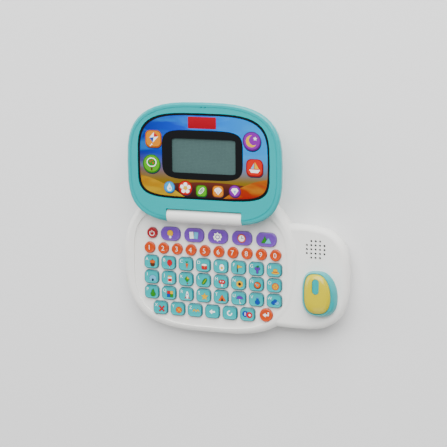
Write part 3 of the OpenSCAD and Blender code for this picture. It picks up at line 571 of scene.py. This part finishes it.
def powerSign(x, y):
    # A broken ring with a bar in its gap
    sign = prints["power"]
    turns = [math.radians(a) for a in range(125, 416, 15)]
    middle = y - sign["down"]
    arc = [(x + r * math.cos(a), middle + r * math.sin(a)) for r in (sign["outer"], sign["inner"]) for a in turns]
    count = len(turns)
    return [("white", arc, [(i, i + 1, count + i + 1, count + i) for i in range(count - 1)]),
            bar("white", x, y + sign["barUp"], sign["barW"], sign["barL"])]


printLevel = keys["top"] - keys["dish"]
for keyName, (kind, x, y, _) in keyAt.items():
    tag = keyName.split("_key_")[-1]
    if kind == "letter":
        look = prints["letterPicture"]
        stamps = outlined(moved(pictures[tag], x + look["x"], y + look["y"], look["scale"]), look["outline"])
        stamps.append(printed("\u00d1" if tag == "n_tilde" else tag.upper(), prints["letter"], x, y))
    elif kind == "number":
        stamps = [printed(tag, prints["digit"], x, y)]
    elif kind == "mode":
        look = prints["modePicture"]
        stamps = outlined(moved(pictures["mode" + tag], x, y, look["scale"]), look["outline"])
    elif kind == "power":
        stamps = powerSign(x, y)
    else:
        stamps = moved(enterArrow, x, y, prints["enterScale"])
    printPiece("print_" + keyName, keyName, [stamps], deckM, printLevel)
functionPrints = [moved(pictures[tag], x, y, prints["functionScale"])
                  for (x, y), tag in zip(functionAt, prints["functionPictures"])]
printPiece("print_function_keys", "function_keys", functionPrints, deckM, printLevel)
print("prints made")

# Picture sheet of the lid, in millimetres from the hinge line
panel = {
    "half": 77.3, "mid": 62.36, "back": 53.54, "front": 42.06, "backPower": 3.7, "frontPower": 5.2, "level": 7.1,
    "rim": 2.4, "window": (0.6, 68.56, 75.0, 38.4, 2.5), "frame": (-1.0, 69.7, 47.5, 27.5, 5.0),
    "plate": (-0.7, 105.6, 33.0, 13.0, 1.2), "steps": 96, "badgeRise": 0.1,
    "earth": (-70, 70), "amber": (-75.2, -20), "ember": (24, 75.2),
}
# Tiles on the sheet: tone, middle, size, motif and the rounding of the corners
softCorner, roundCorner = 0.3, 0.48
tileRows = [
    ("Orange", -58.5, 86.0, 19.5, "kite", softCorner), ("Green", -61.0, 58.0, 21.0, "tree", roundCorner),
    ("Purple", 57.0, 87.5, 21.0, "moon", roundCorner), ("Red", 60.0, 58.5, 19.5, "boat", softCorner),
    ("Blue", -40.0, 32.5, 13.0, "drop", roundCorner), ("Red", -21.0, 32.5, 16.5, "flower", roundCorner),
    ("Green", -2.0, 30.0, 13.0, "leaf", softCorner), ("Orange", 17.5, 30.5, 13.0, "shell", softCorner),
    ("Purple", 37.0, 31.5, 13.5, "gem", roundCorner),
]


def bulged(half, back, front, backPower, frontPower, x=0.0, y=0.0, steps=96):
    # Rounded shape between an ellipse and a rectangle
    points = []
    for i in range(steps):
        a = 2 * math.pi * i / steps
        c, s = math.cos(a), math.sin(a)
        p, b = (backPower, back) if s >= 0 else (frontPower, front)
        points.append((x + half * math.copysign(abs(c) ** (2 / p), c), y + b * math.copysign(abs(s) ** (2 / p), s)))
    return points


def rayed(points, x, y, steps):
    # The same outline as points at even angles round x, y
    out = []
    for i in range(steps):
        dx, dy = math.cos(2 * math.pi * i / steps), math.sin(2 * math.pi * i / steps)
        best = 0.0
        for (ax, ay), (bx, by) in zip(points, points[1:] + points[:1]):
            ex, ey = bx - ax, by - ay
            across = dx * ey - dy * ex
            if abs(across) > 1e-12:
                t = ((ax - x) * ey - (ay - y) * ex) / across
                u = ((ax - x) * dy - (ay - y) * dx) / across
                if t > 0 and -1e-9 <= u <= 1 + 1e-9:
                    best = max(best, t)
        out.append((x + best * dx, y + best * dy))
    return out


def ringStamp(colour, outer, inner):
    count = len(outer)
    return colour, outer + inner, [(i, (i + 1) % count, count + (i + 1) % count, count + i) for i in range(count)]


def panelOutline(inset):
    return bulged(panel["half"] - inset, panel["back"] - inset, panel["front"] - inset, panel["backPower"],
                  panel["frontPower"], 0.0, panel["mid"], 240)


def panelBottom(x):
    # Lower edge of the printed picture at x
    half, front, p = panel["half"] - panel["rim"], panel["front"] - panel["rim"], panel["frontPower"]
    return panel["mid"] - front * max(0.0, 1 - abs(x / half) ** p) ** (1 / p)


def hillStamp(colour, x0, x1, top):
    # Ground between the picture's lower edge and the curve top(x)
    count = 36
    xs = [x0 + (x1 - x0) * i / count for i in range(count + 1)]
    low = [(x, panelBottom(x)) for x in xs]
    high = [(x, max(panelBottom(x) + 0.01, top(x))) for x in xs]
    total = count + 1
    return colour, low + high, [(i, i + 1, total + i + 1, total + i) for i in range(count)]


def sheetInk(name, stops, axis, span, streak=0.0, streakColour="#ffffff", haze=None):
    # Ink on the back of a clear polycarbonate sheet: flat colour blends under a deep, even gloss
    material, tree = freshMaterial(name)
    place = addNode(tree, "ShaderNodeTexCoord").outputs["Object"]
    parts = addNode(tree, "ShaderNodeSeparateXYZ", Vector=place)
    along = addNode(tree, "ShaderNodeMapRange", Value=parts.outputs[axis], From_Min=span[0] * mm,
                    From_Max=span[1] * mm)
    ramp = addNode(tree, "ShaderNodeValToRGB", Fac=along.outputs[0])
    band = ramp.color_ramp
    band.elements[0].color = linear(stops[0])
    band.elements[1].color = linear(stops[-1])
    for i, stop in enumerate(stops[1:-1]):
        band.elements.new((i + 1) / (len(stops) - 1)).color = linear(stop)
    tone = ramp.outputs[0]
    if streak:
        drawn = addNode(tree, "ShaderNodeMapping", Vector=place, Scale=(1.0, 3.2, 1.0))
        noise = addNode(tree, "ShaderNodeTexNoise", Vector=drawn.outputs[0], Scale=1 / 0.03, Detail=1.0,
                        Distortion=0.6)
        soft = addNode(tree, "ShaderNodeMapRange", Value=noise.outputs["Fac"], From_Min=0.45, From_Max=0.7,
                       To_Max=streak)
        tone = addNode(tree, "ShaderNodeMix", {"data_type": "RGBA"}, Factor=soft.outputs[0], _6=tone,
                       _7=linear(streakColour)).outputs[2]
    if haze:
        colour, low, high = haze
        rise = addNode(tree, "ShaderNodeMapRange", {"interpolation_type": "SMOOTHSTEP"}, Value=parts.outputs["Y"],
                       From_Min=low * mm, From_Max=high * mm, To_Min=1.0, To_Max=0.0)
        tone = addNode(tree, "ShaderNodeMix", {"data_type": "RGBA"}, Factor=rise.outputs[0], _6=tone,
                       _7=linear(colour)).outputs[2]
    close(tree, addNode(tree, "ShaderNodeBsdfPrincipled", Base_Color=tone, Roughness=0.5, Specular_IOR_Level=0.1,
                        Coat_Weight=0.8, Coat_Roughness=0.06))
    return material


lidX, lidY = deck["lidX"], deck["hingeY"]
ink.update({
    "sheetBlack": sheetInk("printed_sheet_black", ["#08090b", "#0d0e11"], "Y", (lidY, lidY + 120)),
    "sheetSky": sheetInk("printed_sheet_sky", ["#081a80", "#0a3ab4", "#0070cc", "#0086c8"], "X",
                         (lidX - 76, lidX + 78), 0.25, "#20a0e4", ("#70580e", lidY + 38, lidY + 72)),
    "sheetEarth": sheetInk("printed_sheet_earth", ["#1e0a0a", "#3a1410", "#5c2818"], "Y", (lidY + 20, lidY + 40)),
    "sheetAmber": sheetInk("printed_sheet_amber", ["#a07c00", "#946000", "#783004"], "Y", (lidY + 26, lidY + 48),
                           0.5, "#b89808"),
    "sheetEmber": sheetInk("printed_sheet_ember", ["#881004", "#922c06", "#945c08"], "Y", (lidY + 22, lidY + 48),
                           0.4, "#b48808"),
    "plateRed": sheetInk("printed_sheet_red", ["#8c0016", "#9c041c"], "Y", (lidY + 98, lidY + 112)),
    "badgeShade": paddedInk("printed_badge_shade", "#0c1c38", 0.5, 0.1, 0.8),
})
badgeTones = {"Green": ("#4a9a10", "#246408"), "Orange": ("#cc7a00", "#944800"), "Blue": ("#1294cc", "#085c9a"),
              "Purple": ("#7a1894", "#4a0a66"), "Red": ("#c01c0c", "#7e0c0a")}
for toneName, (faceTone, edgeTone) in badgeTones.items():
    ink["badge" + toneName] = paddedInk("printed_badge_" + toneName.lower(), faceTone, 0.5, 0.1, 0.8)
    ink["badgeEdge" + toneName] = paddedInk("printed_badge_edge_" + toneName.lower(), edgeTone, 0.5, 0.1, 0.8)


def badge(colour, x, y, size, motif, r):
    # Rounded tile with a shadow below it, a darker edge, a lighter face and a small picture
    tile = [(x + u, y + v) for u, v in roundRect(size, size, size * r, 6)]
    face = [(x + u, y + v + size * 0.015) for u, v in roundRect(size * 0.88, size * 0.88, size * r * 0.88, 6)]
    return [("badgeShade", [(u + size * 0.02, v - size * 0.05) for u, v in tile]), ("badgeEdge" + colour, tile),
            ("badge" + colour, face)] + moved(pictures[motif], x, y, size * 0.4)


def panelPrints():
    wx, wy, ww, wl, wr = panel["window"]
    fx, fy, half, tall, power = panel["frame"]
    steps = panel["steps"]
    window = rayed([(wx + u, wy + v) for u, v in roundRect(ww, wl, wr)], wx, wy, steps)
    frameLine = rayed(bulged(half, tall, tall, power, power, fx, fy, 240), wx, wy, steps)
    edge = rayed(panelOutline(0.05), wx, wy, steps)
    inner = rayed(panelOutline(panel["rim"]), wx, wy, steps)
    px, py, pw, pl, pr = panel["plate"]
    picture = [
        ringStamp("sheetBlack", edge, inner),
        ringStamp("sheetSky", inner, frameLine),
        hillStamp("sheetEarth", *panel["earth"], lambda x: 37.0 + 3.0 * math.cos((x - 10) / 30)),
        hillStamp("sheetAmber", *panel["amber"], lambda x: 45.0 - 0.0052 * (x + 78) ** 2 - 0.12 * (x + 75)),
        hillStamp("sheetEmber", *panel["ember"], lambda x: 46.0 - 0.0062 * (x - 78) ** 2 + 0.10 * (x - 75)),
        ringStamp("sheetBlack", frameLine, window),
        ("plateRed", [(px + u, py + v) for u, v in roundRect(pw, pl, pr)]),
    ]
    tiles = [badge(*row) for row in tileRows]
    return picture, tiles


picture, tiles = panelPrints()
printPiece("print_panel", "lid", [picture], lidM, panel["level"])
printPiece("print_badges", "lid", tiles, lidM, panel["level"] + panel["badgeRise"])
print("panel printed")

# Two raised dots at the top of the lid, in a dark teal that is painted shade standing in for the shade of two small
# holes
dots = {"x": (-1.2, 3.4), "y": 123.2, "d": 1.8, "rise": 0.25, "steps": 20,
        "profile": [(1.0, -0.1), (0.96, 0.5), (0.8, 0.85), (0.55, 1.0), (0.2, 0.8)]}


def lidHeight(x, y):
    # Height of the lid's front above its hinge line at x, y
    front = nodes["lid_front"]
    tree = BVHTree.FromPolygons([v.co for v in front.data.vertices], [p.vertices for p in front.data.polygons])
    hit = tree.ray_cast(lidM @ Vector((x * mm, y * mm, 0.05)), -(lidM.to_3x3() @ Vector((0, 0, 1))))
    return (lidM.inverted() @ hit[0]).z / mm


def makeDots():
    mesh = bmesh.new()
    for x in dots["x"]:
        level = lidHeight(x, dots["y"])
        ring = roundDisc(dots["d"], dots["steps"])
        loops = [[(x + px * r, dots["y"] + py * r, level + dots["rise"] * z) for px, py in ring]
                 for r, z in dots["profile"]]
        loftLoops(mesh, loops, lidM)
    return makePiece("lid_dots", mesh, [finishes["tealHoleShade"]], "lid", 60)


makeDots()

studio = {
    "floorSize": 6.0, "floorTone": (0.80, 0.83), "airColour": "#f6f8fa", "airStrength": 0.12,
    "camera": (0.5521, 0.2437, 1.5934), "turn": (-6.657, 19.927, 0.979), "sensor": 36, "focalPixels": 1500,
    "picturePixels": 447,
}
# Large soft lamps: side in m, power in W and place
lamps = {
    "keyLight": (2.6, 150, (0.45, 1.6, 1.5)), "fillLight": (2.2, 22, (0.2, -1.8, 1.1)),
    "sideLight": (1.8, 36, (-2.0, 0.5, 0.9)),
}


def makeFloor():
    mesh = bmesh.new()
    half = studio["floorSize"] / 2
    sheet = ((-half, -half), (half, -half), (half, half), (-half, half))
    corners = [mesh.verts.new((x, y, -0.0002)) for x, y in sheet]
    mesh.faces.new(corners)
    data = bpy.data.meshes.new("floor")
    mesh.to_mesh(data)
    mesh.free()
    floor = bpy.data.objects.new("floor", data)
    bpy.context.scene.collection.objects.link(floor)
    material, tree = freshMaterial("matt_paper_white")
    place = addNode(tree, "ShaderNodeTexCoord").outputs["Object"]
    fibre = addNode(tree, "ShaderNodeTexNoise", Vector=place, Scale=1 / 0.002, Detail=3.0)
    low, high = studio["floorTone"]
    tone = addNode(tree, "ShaderNodeMapRange", Value=fibre.outputs["Fac"], To_Min=low, To_Max=high)
    close(tree, addNode(tree, "ShaderNodeBsdfPrincipled", Base_Color=tone.outputs[0], Roughness=0.8))
    data.materials.append(material)


def softLight(name, size, power, place):
    lamp = bpy.data.lights.new(name, "AREA")
    lamp.shape = "SQUARE"
    lamp.size = size
    lamp.energy = power
    piece = bpy.data.objects.new(name, lamp)
    piece.location = place
    piece.rotation_euler = (-Vector(place)).to_track_quat("-Z", "Y").to_euler()
    bpy.context.scene.collection.objects.link(piece)


makeFloor()
for lampName, (size, power, place) in lamps.items():
    softLight(lampName, size, power, place)
world = bpy.data.worlds.new("studioAir")
world.use_nodes = True
world.node_tree.nodes["Background"].inputs[0].default_value = linear(studio["airColour"])
world.node_tree.nodes["Background"].inputs[1].default_value = studio["airStrength"]
bpy.context.scene.world = world

camera = bpy.data.objects.new("camera", bpy.data.cameras.new("camera"))
camera.data.sensor_width = studio["sensor"]
camera.data.lens = studio["sensor"] * studio["focalPixels"] / studio["picturePixels"]
camera.location = studio["camera"]
camera.rotation_euler = [math.radians(a) for a in studio["turn"]]
bpy.context.scene.collection.objects.link(camera)
bpy.context.scene.camera = camera
print("studio ready")
